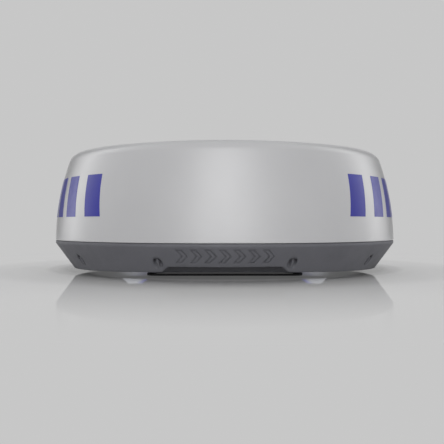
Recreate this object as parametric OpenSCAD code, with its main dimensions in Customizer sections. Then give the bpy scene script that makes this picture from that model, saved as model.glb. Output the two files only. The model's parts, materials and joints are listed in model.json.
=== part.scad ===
// Closed-dome marine radar antenna: dome cover, cast base, mounting plinth and the turning array inside.
// Front is -Y, up is +Z, and the origin is the centre of the bottom face.

/* [Dome cover] */
// Largest radius of the dome, at its lower edge
dome_r = 305.8; // [295:0.1:315]
// Height of the cover's lower edge
seam_z = 57.7; // [56:0.1:62]
// Radius of the barrel-shaped side wall, seen in section
wall_arc_r = 455; // [420:1:500]
// Lean of the side wall at its lower edge, in degrees
wall_lean_low = 1; // [0:0.5:3]
// Lean of the side wall at the shoulder, in degrees
wall_lean_top = 18.5; // [16:0.5:20]
// Radius of the rounded shoulder
shoulder_r = 23; // [18:1:30]
// Radius of the shallow crown
crown_r = 1800; // [1500:10:2400]
// Wall thickness of the cover
cover_t = 3; // [2.5:0.1:4.5]

/* [Base casting] */
// Radius of the base's lip under the seam
lip_r = 305.4; // [300:0.1:305.6]
// Horizontal run of the skirt for each millimetre of height
skirt_run = 0.729; // [0.65:0.001:0.8]
// Wall thickness of the skirt, measured level
skirt_t = 3.8; // [3:0.1:6]
// Height of the underside on the centre line
pan_z = 16.7; // [15:0.1:18]
// Fall of the underside towards each side, in degrees
pan_fall = 1.7; // [1:0.1:2]
// Thickness of the pan
pan_t = 2.8; // [2.5:0.1:4]
// Half width of the front and rear notches at the top
notch_half = 84; // [80:1:90]
// Height of the notches
notch_z = 22.5; // [21:0.1:24]

/* [Plinth and mounting] */
// Half width of the plinth
plinth_half_x = 130; // [128:1:134]
// Half depth of the plinth
plinth_half_y = 149; // [140:1:152]
// Thickness of the rubber gasket under the plinth
gasket_t = 3; // [2:0.5:4]
// Distance between the mounting holes across the front
mount_x = 233; // [233:1:234]
// Distance between the mounting holes front to back
mount_y = 141.5; // [140:0.5:143]
// Radius of the threaded hole for an M8 bolt
mount_hole_r = 3.4; // [3.3:0.05:3.5]

/* [Fasteners and pockets] */
// Circle of the cover screws
screw_circle = 266; // [262:1:267]
// Directions of the cover screws from the front, on each side
screw_angles = [27, 58, 90, 122, 153];
// Circle of the cored pockets in the skirt
pocket_circle = 286.3; // [285:0.1:288]
// Directions of the cored pockets from the front, on each side
pocket_angles = [20.2, 54, 90, 126, 159.8];
// Radius of a pocket's round ends
pocket_r = 6; // [5:0.1:6.5]

/* [Drive] */
// Radius of the large pulley under the belt
pulley_r = 45; // [40:1:48]
// Radius of the motor pulley under the belt
pinion_r = 12; // [10:0.5:14]
// Distance from the antenna axis to the motor axis
motor_y = 108; // [104:1:112]
// Middle height of the belt
belt_z = 105; // [104:0.5:106]
// Width of the belt
belt_w = 9; // [6:0.5:9.5]

/* [Antenna array] */
// Half length of the array
array_half = 254; // [230:1:256]
// Height of the array
array_h = 70; // [60:1:72]
// Height of the array's lower edge
array_z = 116; // [115:1:118]

/* [Hidden] */
$fn = 96;
SMALL = 24;
EPS = 0.01;
// How much fatter a wire is at a bend
joint_swell = 1.12;

// Colours
white_shell = [0.93, 0.93, 0.93];
dark_casting = [0.30, 0.30, 0.32];
black_rubber = [0.05, 0.05, 0.05];
mark_blue = [0.16, 0.17, 0.55];
light_blue = [0.55, 0.65, 1.0];
board_green = [0.05, 0.28, 0.16];

// Dome section, worked out from the driving arcs
wall_cx = dome_r - wall_arc_r * cos(wall_lean_low);
wall_cz = seam_z - wall_arc_r * sin(wall_lean_low);
shoulder_cx = wall_cx + (wall_arc_r - shoulder_r) * cos(wall_lean_top);
shoulder_cz = wall_cz + (wall_arc_r - shoulder_r) * sin(wall_lean_top);
crown_turn = acos(shoulder_cx / (crown_r - shoulder_r));
crown_cz = shoulder_cz - (crown_r - shoulder_r) * sin(crown_turn);
edge_bevel = 0.9;
flange_in_r = 285;
cover_flange_t = 4;
ear_r = 8.5;
ear_top = 74;

// Base section
base_top = seam_z - 0.5;
lip_z = 52.4;
base_low_z = 5;
base_flange_t = 5.2;
tab_t = 4;
groove_r = 292;
groove_w = 4;
seal_r = 1.45;
notch_run = 1.18;
notch_corner = 7;
head_seat_z = 44;
head_r = 4.25;
head_h = 5;
access_r = 5.2;
column_r = 8;
pocket_spread = 1.5;
pocket_top = 44;
pocket_wall = 3;
pocket_rib_w = 2.8;
pocket_rib_depth = 9;

// Plinth
plinth_corner = 18;
plinth_wall = 6;
plinth_rib = 3;
plinth_cells = 3;
plinth_step = 3;
plinth_rim = 12;
insert_r = 7;
insert_h = 14;
mount_boss_r = 13;

// Drive stack heights
pad_z = 24;
housing_flange_t = 6;
bearing_in = 10;
bearing_out = 21;
bearing_w = 12;
low_bearing_z = 34;
top_bearing_z = 78;
housing_top = 92;
ball_r = 3.5;
race_r = 3.75;
ball_circle = 15.5;
ball_count = 9;
carrier_z = 113;
carrier_t = 4;
rim_half = 5.5;
flange_t = 1.2;
flange_h = 2;
belt_gap = 0.3;
belt_t = 1.8;
motor_half = 28.5;
motor_low = 42;
motor_top = 87;
plate_t = 4;
post_x = 38;
post_dy = 32;
post_r = 5;
post_base = 25;

// Electronics
board_z = 32;
board_t = 1.6;
board_x0 = 60;
board_x1 = 200;
board_y0 = -25;
board_y1 = 112;
boss_top = 22;
board_inset = 8;
board_holes = [for (x = [board_x0 + board_inset, board_x1 - board_inset],
                    y = [board_y0 + board_inset, board_y1 - board_inset]) [x, y]];

// Accent light window: corners on the right side, for a border of g
function window_points(g) = [
    [138 - g, -45 + g], [184 + g, -45 + g], [158 + g, -152 - g], [138 - g, -138 - g]
];
light_bosses = [[131, -60], [131, -128], [190, -56]];
light_rise = 9.5;

// Connector bay behind the plinth
bay_half = 46;
bay_y0 = 150;
bay_y1 = 190;
bay_z0 = 3;
bay_z1 = 21.5;
bay_wall = 3;
bay_hole_half = 28;
bay_screw_x = 41;
bay_screw_in = 5.5;
socket_x = 22;
socket_z = 12.25;
socket_r = 8;
socket_cavity_r = 6.4;
socket_len = 12;

// Antenna
array_back_y = -14;
array_sheet = 2;
array_lip = 8;
patch_columns = 20;
patch_rows = 2;
feed_z = 150;

// ---- helpers ----
function arc(cx, cz, r, a0, a1, n) = [
    for (i = [0:n]) let (a = a0 + (a1 - a0) * i / n) [cx + r * cos(a), cz + r * sin(a)]
];
function cone_r(z) = lip_r - skirt_run * (lip_z - z);
function pan_at(x) = pan_z - abs(x) * tan(pan_fall);
// Points of one wall of the dome, inset from the outer surface by t
function dome_points(t) = concat(
    arc(wall_cx, wall_cz, wall_arc_r - t, wall_lean_low, wall_lean_top, 14),
    arc(shoulder_cx, shoulder_cz, shoulder_r - t, wall_lean_top + 4, crown_turn, 12),
    [for (p = arc(0, crown_cz, crown_r - t, crown_turn, 90, 10)) if (p[0] > 0.5) p],
    [[0, crown_cz + crown_r - t]]
);

module dome_solid(t) {
    rotate_extrude() polygon(concat([[0, seam_z]], dome_points(t)));
}

module around(angles, r) {
    for (a = angles, side = [-1, 1]) rotate([0, 0, side * a]) translate([0, -r, 0]) children();
}

module ring(r_out, r_in, h) {
    difference() {
        cylinder(r = r_out, h = h);
        translate([0, 0, -1]) cylinder(r = r_in, h = h + 2);
    }
}

// Everything under the two shallow planes of the underside, raised so that it peaks at z
module under_pan(z) {
    intersection_for (side = [-1, 1])
        translate([0, 0, z]) rotate([0, side * pan_fall, 0]) translate([-400, -400, -100])
            cube([800, 800, 100]);
}

module pan_layer(z0, z1) {
    difference() {
        under_pan(z1);
        under_pan(z0);
    }
}

module rounded_plate(half_x, half_y, r) {
    corners = [[1, 1, 0], [-1, 1, 90], [-1, -1, 180], [1, -1, 270]];
    polygon([
        for (c = corners) each arc(c[0] * (half_x - r), c[1] * (half_y - r), r, c[2], c[2] + 90, 8)
    ]);
}

module at_mounts() {
    for (x = [-1, 1], y = [-1, 1]) translate([x * mount_x / 2, y * mount_y / 2, 0]) children();
}

// A machine screw standing on z = 0, head up, with a hexagon socket
module socket_screw(shank_r, length, head_radius, head_height) {
    difference() {
        union() {
            cylinder(r = head_radius, h = head_height, $fn = 32);
            translate([0, 0, -length]) cylinder(r = shank_r, h = length + EPS, $fn = SMALL);
        }
        translate([0, 0, head_height * 0.4]) cylinder(r = head_radius * 0.5, h = head_height, $fn = 6);
    }
}

// A wire through a list of points
module wire(points, r) {
    for (i = [0:len(points) - 2]) {
        d = points[i + 1] - points[i];
        translate(points[i]) rotate([0, acos(d[2] / norm(d)), atan2(d[1], d[0])])
            cylinder(r = r, h = norm(d), $fn = 32);
    }
    for (i = [1:len(points) - 2]) translate(points[i]) sphere(r = r * joint_swell, $fn = 32);
}

// Outline of a belt at distance t outside both pulleys
module belt_outline(t) {
    r1 = pulley_r + t;
    r2 = pinion_r + t;
    lean = asin((r1 - r2) / motor_y);
    polygon(concat(
        arc(0, 0, r1, -180 - lean, lean, 64),
        arc(0, motor_y, r2, lean, 180 - lean, 24)
    ));
}

// ---- cover ----
module radome_cover() {
    color(white_shell) difference() {
        union() {
            difference() {
                dome_solid(0);
                translate([0, 0, -EPS]) dome_solid(cover_t);
            }
            translate([0, 0, seam_z]) ring(dome_r - 2, flange_in_r, cover_flange_t);
            around(screw_angles, screw_circle) {
                translate([0, 0, seam_z]) cylinder(r = ear_r, h = ear_top - seam_z, $fn = 48);
                translate([-ear_r + 1, -25, seam_z]) cube([2 * ear_r - 2, 25, cover_flange_t]);
                translate([-1.5, -32, seam_z]) cube([3, 32, 12]);
            }
        }
        translate([0, 0, seam_z]) difference() {
            translate([0, 0, -1]) cylinder(r = dome_r + 2, h = edge_bevel + 1);
            translate([0, 0, -1])
                cylinder(r1 = dome_r - edge_bevel - 1, r2 = dome_r, h = edge_bevel + 1);
        }
        around(screw_angles, screw_circle)
            translate([0, 0, seam_z - 1]) cylinder(r = 4, h = 14, $fn = 32);
    }
}

module cover_seal() {
    color(black_rubber) rotate_extrude()
        translate([groove_r, seam_z - seal_r]) circle(r = seal_r, $fn = 24);
}

module cover_inserts() {
    color("goldenrod") around(screw_angles, screw_circle) translate([0, 0, seam_z + 0.3]) difference() {
        cylinder(r = 4, h = 12, $fn = 32);
        translate([0, 0, -1]) cylinder(r = 2.6, h = 14, $fn = SMALL);
    }
}

module cover_screws() {
    color("silver") around(screw_angles, screw_circle)
        translate([0, 0, head_seat_z]) mirror([0, 0, 1]) socket_screw(2.45, 24, head_r, head_h);
}

// ---- base ----
module skirt_solid() {
    rotate_extrude() polygon([
        [0, base_low_z], [cone_r(base_low_z), base_low_z], [lip_r, lip_z], [lip_r, base_top - 0.8],
        [lip_r - 0.8, base_top], [0, base_top]
    ]);
}

module skirt_cavity() {
    difference() {
        rotate_extrude() polygon([
            [0, base_low_z], [cone_r(base_low_z) - skirt_t, base_low_z],
            [cone_r(base_top - base_flange_t) - skirt_t, base_top - base_flange_t],
            [flange_in_r, base_top - base_flange_t], [flange_in_r, base_top + 1], [0, base_top + 1]
        ]);
        under_pan(pan_z + pan_t);
    }
}

// Notch section: a trapezium with rounded top corners, grown by g
module notch_section(g) {
    top = notch_z + g;
    half = notch_half + g;
    turn = atan(notch_run);
    corner_x = half - notch_corner * tan((90 - turn) / 2);
    polygon(concat(
        [[half + notch_run * top, 0]],
        arc(corner_x, top - notch_corner, notch_corner, turn, 90, 5),
        arc(-corner_x, top - notch_corner, notch_corner, 90, 180 - turn, 5),
        [[-half - notch_run * top, 0]]
    ));
}

module notches(g, start_y) {
    for (side = [0, 180]) rotate([0, 0, side]) translate([0, -start_y, 0])
        rotate([90, 0, 0]) linear_extrude(height = 200) notch_section(g);
}

module pocket(wall) {
    linear_extrude(height = pocket_top + wall) polygon(concat(
        arc(pocket_spread, 0, pocket_r + wall, -90, 90, 16),
        arc(-pocket_spread, 0, pocket_r + wall, 90, 270, 16)
    ));
}

module pocket_rib() {
    translate([-pocket_rib_w / 2, pocket_r - pocket_rib_depth, 0])
        cube([pocket_rib_w, pocket_rib_depth + pocket_wall, pocket_top + pocket_wall]);
}

module plinth_cores() {
    step_x = 2 * (plinth_half_x - plinth_wall) / plinth_cells;
    step_y = 2 * (plinth_half_y - plinth_wall) / plinth_cells;
    difference() {
        for (i = [0:plinth_cells - 1], j = [0:plinth_cells - 1])
            translate([
                -plinth_half_x + plinth_wall + i * step_x + plinth_rib / 2,
                -plinth_half_y + plinth_wall + j * step_y + plinth_rib / 2, 0
            ]) cube([step_x - plinth_rib, step_y - plinth_rib, 40]);
        at_mounts() cylinder(r = mount_boss_r, h = 40, $fn = 48);
    }
}

// Shallow recess that keeps the ribs clear of the surface under the gasket
module plinth_recess() {
    difference() {
        linear_extrude(height = gasket_t + plinth_step)
            rounded_plate(plinth_half_x - plinth_rim, plinth_half_y - plinth_rim, plinth_corner - 10);
        at_mounts() cylinder(r = mount_boss_r, h = 40, $fn = 48);
    }
}

// Generic row of chevrons pressed into the front of the skirt
module front_chevrons() {
    line_w = 1.7;
    depth = 1.3;
    reach = 9;
    rise = 10;
    intersection() {
        for (i = [-3:3]) translate([i * 21, -250, 38.5]) rotate([90, 0, 0])
            linear_extrude(height = 60) difference() {
                polygon([[-reach, rise], [0, rise], [reach, 0], [0, -rise], [-reach, -rise], [0, 0]]);
                polygon([
                    [-reach + 3, rise - line_w], [-line_w * 0.4, rise - line_w], [reach - 2, 0],
                    [-line_w * 0.4, line_w - rise], [-reach + 3, line_w - rise], [2, 0]
                ]);
            }
        rotate_extrude() polygon([
            [cone_r(24) - depth, 24], [cone_r(24) + 4, 24], [cone_r(51) + 4, 51], [cone_r(51) - depth, 51]
        ]);
    }
}

module base_inner_bosses() {
    around(screw_angles, screw_circle) {
        cylinder(r = column_r, h = base_top, $fn = 48);
        translate([-column_r + 1, -24, base_top - tab_t]) cube([2 * column_r - 2, 24, tab_t]);
        translate([-1.5, -34, 0]) cube([3, 34, base_top - 2]);
    }
    around(pocket_angles, pocket_circle) pocket(pocket_wall);
    cylinder(r = 56, h = pad_z);
    for (x = [-1, 1], y = [-1, 1])
        translate([x * post_x, motor_y + y * post_dy, 0]) cylinder(r = 8, h = post_base, $fn = 32);
    for (side = [-1, 1], p = board_holes)
        translate([side * p[0], p[1], 0]) cylinder(r = 5, h = boss_top, $fn = 32);
    for (side = [-1, 1], p = light_bosses)
        translate([side * p[0], p[1], 0]) cylinder(r = 3.2, h = pan_at(p[0]) + light_rise, $fn = SMALL);
    at_mounts() cylinder(r = 10, h = gasket_t + insert_h + 3.5, $fn = 32);
    translate([-170, 110, 0]) cylinder(r = 12, h = 17, $fn = 48);
    // stiffening ribs on the pan, clear of the light windows
    for (a = [30, 90, 120, 150], side = [-1, 1])
        rotate([0, 0, side * a]) translate([-1.2, -252, 0]) cube([2.4, 194, 25]);
}

module lower_base() {
    color(dark_casting) difference() {
        union() {
            difference() {
                skirt_solid();
                skirt_cavity();
            }
            // everything inside the skirt stands on the pan and stays within the outer surface
            intersection() {
                skirt_solid();
                union() {
                    base_inner_bosses();
                    notches(pan_t, plinth_half_y - 4);
                }
            }
            translate([0, 0, low_bearing_z - 11]) ring(20.7, 17.5, 11);
        }
        difference() {
            under_pan(pan_z);
            translate([0, 0, gasket_t]) linear_extrude(height = 30)
                rounded_plate(plinth_half_x, plinth_half_y, plinth_corner);
        }
        translate([0, 0, -100 + gasket_t]) cylinder(r = 400, h = 100);
        intersection() {
            union() {
                plinth_cores();
                plinth_recess();
            }
            under_pan(pan_z);
        }
        notches(0, plinth_half_y);
        around(pocket_angles, pocket_circle) difference() {
            pocket(0);
            pocket_rib();
        }
        around(screw_angles, screw_circle) {
            cylinder(r = access_r, h = head_seat_z, $fn = 32);
            cylinder(r = 2.8, h = 60, $fn = SMALL);
        }
        translate([0, 0, base_top - 2.4]) ring(groove_r + groove_w / 2, groove_r - groove_w / 2, 4);
        at_mounts() cylinder(r = insert_r, h = gasket_t + insert_h, $fn = 48);
        for (side = [-1, 1]) {
            scale([side, 1, 1]) linear_extrude(height = 24) polygon(window_points(0.2));
            for (p = light_bosses)
                translate([side * p[0], p[1], pan_at(p[0]) + 3]) cylinder(r = 1.1, h = 20, $fn = SMALL);
            for (p = board_holes)
                translate([side * p[0], p[1], boss_top - 8]) cylinder(r = 1.25, h = 20, $fn = SMALL);
        }
        translate([-170, 110, 0]) cylinder(r = 6.2, h = 40, $fn = 32);
        translate([-170, 110, 0]) cylinder(r = 13, h = 10.5, $fn = 48);
        translate([-bay_hole_half, bay_y0 + 6, notch_z - 2]) cube([2 * bay_hole_half, 26, 12]);
        for (x = [-1, 1], y = [bay_y0 + bay_screw_in, bay_y1 - bay_screw_in])
            translate([x * bay_screw_x, y, 0]) cylinder(r = 1.7, h = 27, $fn = SMALL);
        for (a = [30:60:330]) rotate([0, 0, a]) translate([47, 0, 17.5])
            cylinder(r = 2, h = 10, $fn = SMALL);
        for (x = [-1, 1], y = [-1, 1])
            translate([x * post_x, motor_y + y * post_dy, 18]) cylinder(r = 2, h = 10, $fn = SMALL);
        front_chevrons();
    }
}

module mount_gasket() {
    color(black_rubber) difference() {
        linear_extrude(height = gasket_t) difference() {
            union() {
                difference() {
                    rounded_plate(plinth_half_x, plinth_half_y, plinth_corner);
                    rounded_plate(
                        plinth_half_x - plinth_rim, plinth_half_y - plinth_rim, plinth_corner - 10
                    );
                }
                for (x = [-1, 1], y = [-1, 1])
                    translate([x * mount_x / 2, y * mount_y / 2]) circle(r = 16);
            }
            for (x = [-1, 1], y = [-1, 1])
                translate([x * mount_x / 2, y * mount_y / 2]) circle(r = insert_r);
        }
    }
}

module mount_inserts() {
    color("silver") at_mounts() translate([0, 0, gasket_t]) difference() {
        cylinder(r = insert_r, h = insert_h, $fn = 48);
        translate([0, 0, -1]) cylinder(r = mount_hole_r, h = insert_h, $fn = 48);
    }
}

// ---- accent lights ----
module accent_lens(side) {
    color(light_blue) scale([side, 1, 1]) {
        intersection() {
            linear_extrude(height = 40) polygon(window_points(0));
            pan_layer(pan_z, pan_z + pan_t + EPS);
        }
        intersection() {
            linear_extrude(height = 40) polygon(window_points(3.5));
            pan_layer(pan_z + pan_t, pan_z + pan_t + 2);
        }
    }
}

module accent_board(side) {
    color(board_green) scale([side, 1, 1]) difference() {
        intersection() {
            linear_extrude(height = 40) polygon(window_points(12));
            pan_layer(pan_z + light_rise, pan_z + light_rise + board_t);
        }
        for (p = light_bosses) translate([p[0], p[1], 10]) cylinder(r = 1.3, h = 20, $fn = SMALL);
    }
}

module accent_leds() {
    color("white") for (side = [-1, 1], y = [-60:-20:-120], x = [148, 160])
        translate([side * x - 2.5, y - 2.5, pan_at(x + 3) + light_rise - 1.4]) cube([5, 5, 1.2]);
}

// ---- vent ----
module vent_plug() {
    color(dark_casting) translate([-170, 110, 0]) difference() {
        union() {
            translate([0, 0, 7]) cylinder(r = 9, h = 3.5, $fn = 48);
            translate([0, 0, 7]) cylinder(r = 6, h = 16, $fn = 32);
        }
        translate([0, 0, 6]) cylinder(r = 2.5, h = 20, $fn = SMALL);
    }
}

module vent_nut() {
    color("dimgray") translate([-170, 110, 17]) difference() {
        cylinder(r = 9, h = 4, $fn = 6);
        translate([0, 0, -1]) cylinder(r = 6.1, h = 6, $fn = 32);
    }
}

// ---- connector bay ----
module at_bay_screws() {
    for (x = [-1, 1], y = [bay_y0 + bay_screw_in, bay_y1 - bay_screw_in])
        translate([x * bay_screw_x, y, 0]) children();
}

module connector_housing() {
    color(dark_casting) difference() {
        union() {
            difference() {
                translate([-bay_half, bay_y0, bay_z0])
                    cube([2 * bay_half, bay_y1 - bay_y0, bay_z1 - bay_z0]);
                translate([-bay_half + bay_wall, bay_y0 + bay_wall, bay_z0 + bay_wall])
                    cube([2 * (bay_half - bay_wall), bay_y1 - bay_y0 - 2 * bay_wall, 30]);
            }
            at_bay_screws() translate([0, 0, bay_z0]) cylinder(r = 4.5, h = bay_z1 - bay_z0, $fn = 32);
            translate([-1, bay_y0, bay_z0]) cube([2, bay_y1 - bay_y0, bay_z1 - bay_z0]);
        }
        at_bay_screws() {
            cylinder(r = 2, h = 40, $fn = SMALL);
            cylinder(r = 3.6, h = bay_z0 + 4, $fn = 32);
        }
        for (x = [-1, 1]) translate([x * socket_x, bay_y1 - 13, socket_z]) rotate([-90, 0, 0])
            cylinder(r = 7.7, h = 20, $fn = 48);
    }
}

module connector_gasket() {
    color(black_rubber) translate([0, 0, bay_z1]) difference() {
        translate([-bay_half, bay_y0, 0]) cube([2 * bay_half, bay_y1 - bay_y0, notch_z - bay_z1]);
        translate([-bay_half + 12, bay_y0 + 4, -1]) cube([2 * (bay_half - 12), bay_y1 - bay_y0 - 8, 4]);
        at_bay_screws() translate([0, 0, -1]) cylinder(r = 2, h = 4, $fn = SMALL);
    }
}

module connector_screws() {
    color("silver") at_bay_screws()
        translate([0, 0, bay_z0 + 4]) mirror([0, 0, 1]) socket_screw(1.6, 18, 3.4, 3);
}

module socket_shell(side) {
    color("silver") translate([side * socket_x, bay_y1, socket_z]) rotate([-90, 0, 0]) difference() {
        union() {
            cylinder(r = 9.2, h = 2, $fn = 48);
            cylinder(r = socket_r, h = socket_len, $fn = 48);
            translate([0, 0, -12]) cylinder(r = 7.5, h = 13, $fn = 48);
        }
        translate([0, 0, -20]) cylinder(r = socket_cavity_r, h = 50, $fn = 48);
    }
}

module socket_inserts() {
    color("black") for (side = [-1, 1]) translate([side * socket_x, bay_y1, socket_z])
        rotate([-90, 0, 0]) translate([0, 0, -11]) cylinder(r = socket_cavity_r - 0.1, h = 12, $fn = 48);
}

module contact_pins() {
    color("gold") for (side = [-1, 1]) {
        count = side < 0 ? 3 : 8;
        pin_r = side < 0 ? 1.1 : 0.5;
        circle_r = side < 0 ? 3 : 4;
        translate([side * socket_x, bay_y1 + 1, socket_z]) rotate([-90, 0, 0])
            for (i = [0:count - 1]) rotate([0, 0, 360 / count * i]) translate([circle_r, 0, 0])
                cylinder(r = pin_r, h = 6, $fn = 16);
    }
}

// ---- bearing turret ----
module bearing_housing() {
    color("silver") difference() {
        union() {
            translate([0, 0, pad_z]) cylinder(r = 54, h = housing_flange_t);
            translate([0, 0, pad_z]) cylinder(r = 28, h = housing_top - pad_z);
            for (a = [0:60:300]) rotate([0, 0, a]) translate([20, -2, pad_z + 2]) rotate([90, 0, 0])
                translate([0, 0, -4]) linear_extrude(height = 4)
                    polygon([[0, 0], [30, 0], [30, 6], [10, 45], [0, 45]]);
        }
        translate([0, 0, pad_z - 1]) cylinder(r = bearing_out, h = low_bearing_z + bearing_w - pad_z + 1);
        cylinder(r = 18, h = 200);
        translate([0, 0, top_bearing_z]) cylinder(r = bearing_out, h = 40);
        for (a = [30:60:330]) rotate([0, 0, a]) translate([47, 0, 20])
            cylinder(r = 2.3, h = 20, $fn = SMALL);
        for (a = [30:90:300]) rotate([0, 0, a]) translate([24.5, 0, housing_top - 8])
            cylinder(r = 1.6, h = 10, $fn = SMALL);
    }
}

module bearing_retainer() {
    color("silver") translate([0, 0, housing_top]) difference() {
        ring(28, 17.8, 2);
        for (a = [30:90:300]) rotate([0, 0, a]) translate([24.5, 0, -1])
            cylinder(r = 1.7, h = 4, $fn = SMALL);
    }
}

module bearing_ring_outer(z) {
    color("lightgray") translate([0, 0, z]) difference() {
        ring(bearing_out, 17.6, bearing_w);
        translate([0, 0, bearing_w / 2]) rotate_extrude() translate([ball_circle, 0])
            circle(r = race_r, $fn = 32);
    }
}

module bearing_ring_inner(z) {
    color("lightgray") translate([0, 0, z]) difference() {
        ring(13.4, bearing_in, bearing_w);
        translate([0, 0, bearing_w / 2]) rotate_extrude() translate([ball_circle, 0])
            circle(r = race_r, $fn = 32);
    }
}

// Balls and the brass cage that spaces them
module ball_set(z) {
    color("goldenrod") translate([0, 0, z + bearing_w / 2]) {
        difference() {
            translate([0, 0, -2]) ring(16.6, 14.4, 4);
            for (i = [0:ball_count - 1]) rotate([0, 0, 360 / ball_count * i]) translate([ball_circle, 0, 0])
                sphere(r = ball_r - 0.3, $fn = 32);
        }
        for (i = [0:ball_count - 1]) rotate([0, 0, 360 / ball_count * i]) translate([ball_circle, 0, 0])
            sphere(r = ball_r, $fn = 32);
    }
}

module drive_screws() {
    color("dimgray") {
        for (a = [30:60:330]) rotate([0, 0, a]) translate([47, 0, pad_z + housing_flange_t])
            socket_screw(1.9, 11, 3.6, 4);
        for (a = [30:90:300]) rotate([0, 0, a]) translate([24.5, 0, housing_top + 2])
            socket_screw(1.4, 8, 2.4, 2.2);
        for (x = [-1, 1], y = [-1, 1]) {
            translate([x * post_x, motor_y + y * post_dy, motor_top + plate_t])
                socket_screw(1.9, 12, 3.6, 4);
            translate([x * 23.5, motor_y + y * 23.5, motor_top + plate_t])
                socket_screw(1.9, 9, 3.6, 4);
        }
    }
}

// ---- motor and belt ----
module motor_plate() {
    color("silver") translate([0, motor_y, motor_top]) difference() {
        linear_extrude(height = plate_t) rounded_plate(46, 40, 8);
        translate([0, 0, -1]) {
            cylinder(r = 19.4, h = 10);
            for (x = [-1, 1], y = [-1, 1]) {
                translate([x * post_x, y * post_dy, 0]) cylinder(r = 2.1, h = 10, $fn = SMALL);
                translate([x * 23.5, y * 23.5, 0]) cylinder(r = 2.1, h = 10, $fn = SMALL);
            }
        }
    }
}

module motor_posts() {
    color("silver") for (x = [-1, 1], y = [-1, 1])
        translate([x * post_x, motor_y + y * post_dy, post_base]) difference() {
            cylinder(r = post_r, h = motor_top - post_base, $fn = 6);
            translate([0, 0, motor_top - post_base - 14]) cylinder(r = 2, h = 20, $fn = SMALL);
        }
}

module motor_body() {
    color([0.12, 0.12, 0.13]) translate([0, motor_y, motor_low + 9]) difference() {
        linear_extrude(height = motor_top - motor_low - 18) rounded_plate(motor_half, motor_half, 5);
        translate([0, 0, 6]) cylinder(r = 3.7, h = 60, $fn = 32);
        for (x = [-1, 1], y = [-1, 1]) translate([x * 30, y * 30, -1]) cylinder(r = 5, h = 60, $fn = 32);
    }
}

module motor_end_caps() {
    color("silver") translate([0, motor_y, 0]) difference() {
        union() {
            for (z = [motor_low, motor_top - 9]) translate([0, 0, z]) linear_extrude(height = 9)
                rounded_plate(motor_half, motor_half, 5);
            translate([0, 0, motor_top - 1]) cylinder(r = 19, h = 2.6);
        }
        translate([0, 0, motor_top - 20]) cylinder(r = 3.7, h = 60, $fn = 32);
        for (x = [-1, 1], y = [-1, 1])
            translate([x * 23.5, y * 23.5, motor_top - 6]) cylinder(r = 2, h = 10, $fn = SMALL);
    }
}

module motor_shaft() {
    color("lightgray") translate([0, motor_y, motor_low + 16]) cylinder(r = 3.2, h = 53, $fn = 32);
}

module motor_pulley() {
    color("silver") translate([0, motor_y, belt_z]) difference() {
        union() {
            translate([0, 0, -rim_half]) cylinder(r = pinion_r, h = 2 * rim_half);
            for (z = [-rim_half - flange_t, rim_half]) translate([0, 0, z])
                cylinder(r = pinion_r + flange_h, h = flange_t);
            translate([0, 0, -11.5]) cylinder(r = 8, h = 6);
        }
        translate([0, 0, -20]) cylinder(r = 3.2, h = 40, $fn = 32);
    }
}

module drive_pulley() {
    color("silver") translate([0, 0, belt_z]) difference() {
        union() {
            translate([0, 0, -rim_half]) ring(pulley_r, pulley_r - 4, 2 * rim_half);
            for (z = [-rim_half - flange_t, rim_half]) translate([0, 0, z])
                ring(pulley_r + flange_h, pulley_r - 4, flange_t);
            translate([0, 0, -2]) cylinder(r = pulley_r - 3, h = 4);
            translate([0, 0, top_bearing_z + bearing_w - belt_z])
                cylinder(r = 13, h = carrier_z - top_bearing_z - bearing_w);
        }
        translate([0, 0, -40]) cylinder(r = bearing_in, h = 80);
        for (a = [0:60:300]) rotate([0, 0, a]) translate([27, 0, -5]) cylinder(r = 9, h = 10, $fn = 48);
    }
}

module drive_belt() {
    color([0.08, 0.08, 0.08]) translate([0, 0, belt_z - belt_w / 2]) linear_extrude(height = belt_w)
        difference() {
            belt_outline(belt_gap + belt_t);
            belt_outline(belt_gap);
        }
}

// ---- turning antenna ----
// Screws that hold the array on its carrier, pointing backwards from y
module at_array_screws(y) {
    for (x = [-128, 128], z = [128, 168]) translate([x, y, z]) rotate([-90, 0, 0]) children();
}

module antenna_shaft() {
    color("lightgray") difference() {
        union() {
            translate([0, 0, 32]) cylinder(r = bearing_in, h = carrier_z - 32);
            translate([0, 0, low_bearing_z + bearing_w])
                cylinder(r = 12, h = top_bearing_z - low_bearing_z - bearing_w);
            translate([0, 0, carrier_z - 1]) cylinder(r = 8, h = 14);
        }
        translate([0, 0, 20]) cylinder(r = 4.5, h = 120, $fn = 48);
    }
}

module antenna_carrier() {
    color("silver") difference() {
        union() {
            translate([-140, array_back_y, carrier_z]) cube([280, 28, carrier_t]);
            translate([-50, 10, carrier_z]) cube([100, 24, carrier_t]);
            translate([-140, array_back_y, carrier_z]) cube([280, carrier_t, 62]);
            for (x = [-137, -81, -27, 24, 78, 134]) translate([x, array_back_y, carrier_z])
                rotate([90, 0, 90]) linear_extrude(height = 3)
                    polygon([[0, 0], [28, 0], [28, 6], [5, 58], [0, 58]]);
        }
        translate([0, 0, carrier_z - 1]) cylinder(r = 8, h = 10);
        for (x = [-107, -52, 52, 107]) translate([x, array_back_y - 1, feed_z]) rotate([-90, 0, 0])
            cylinder(r = 15, h = 10);
        translate([0, array_back_y - 1, feed_z]) rotate([-90, 0, 0]) cylinder(r = 6, h = 10, $fn = 32);
        at_array_screws(array_back_y - 1) cylinder(r = 1.7, h = 10, $fn = SMALL);
        for (x = [-34, 34]) translate([x, 24, carrier_z - 1]) cylinder(r = 2.1, h = 10, $fn = SMALL);
    }
}

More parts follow.
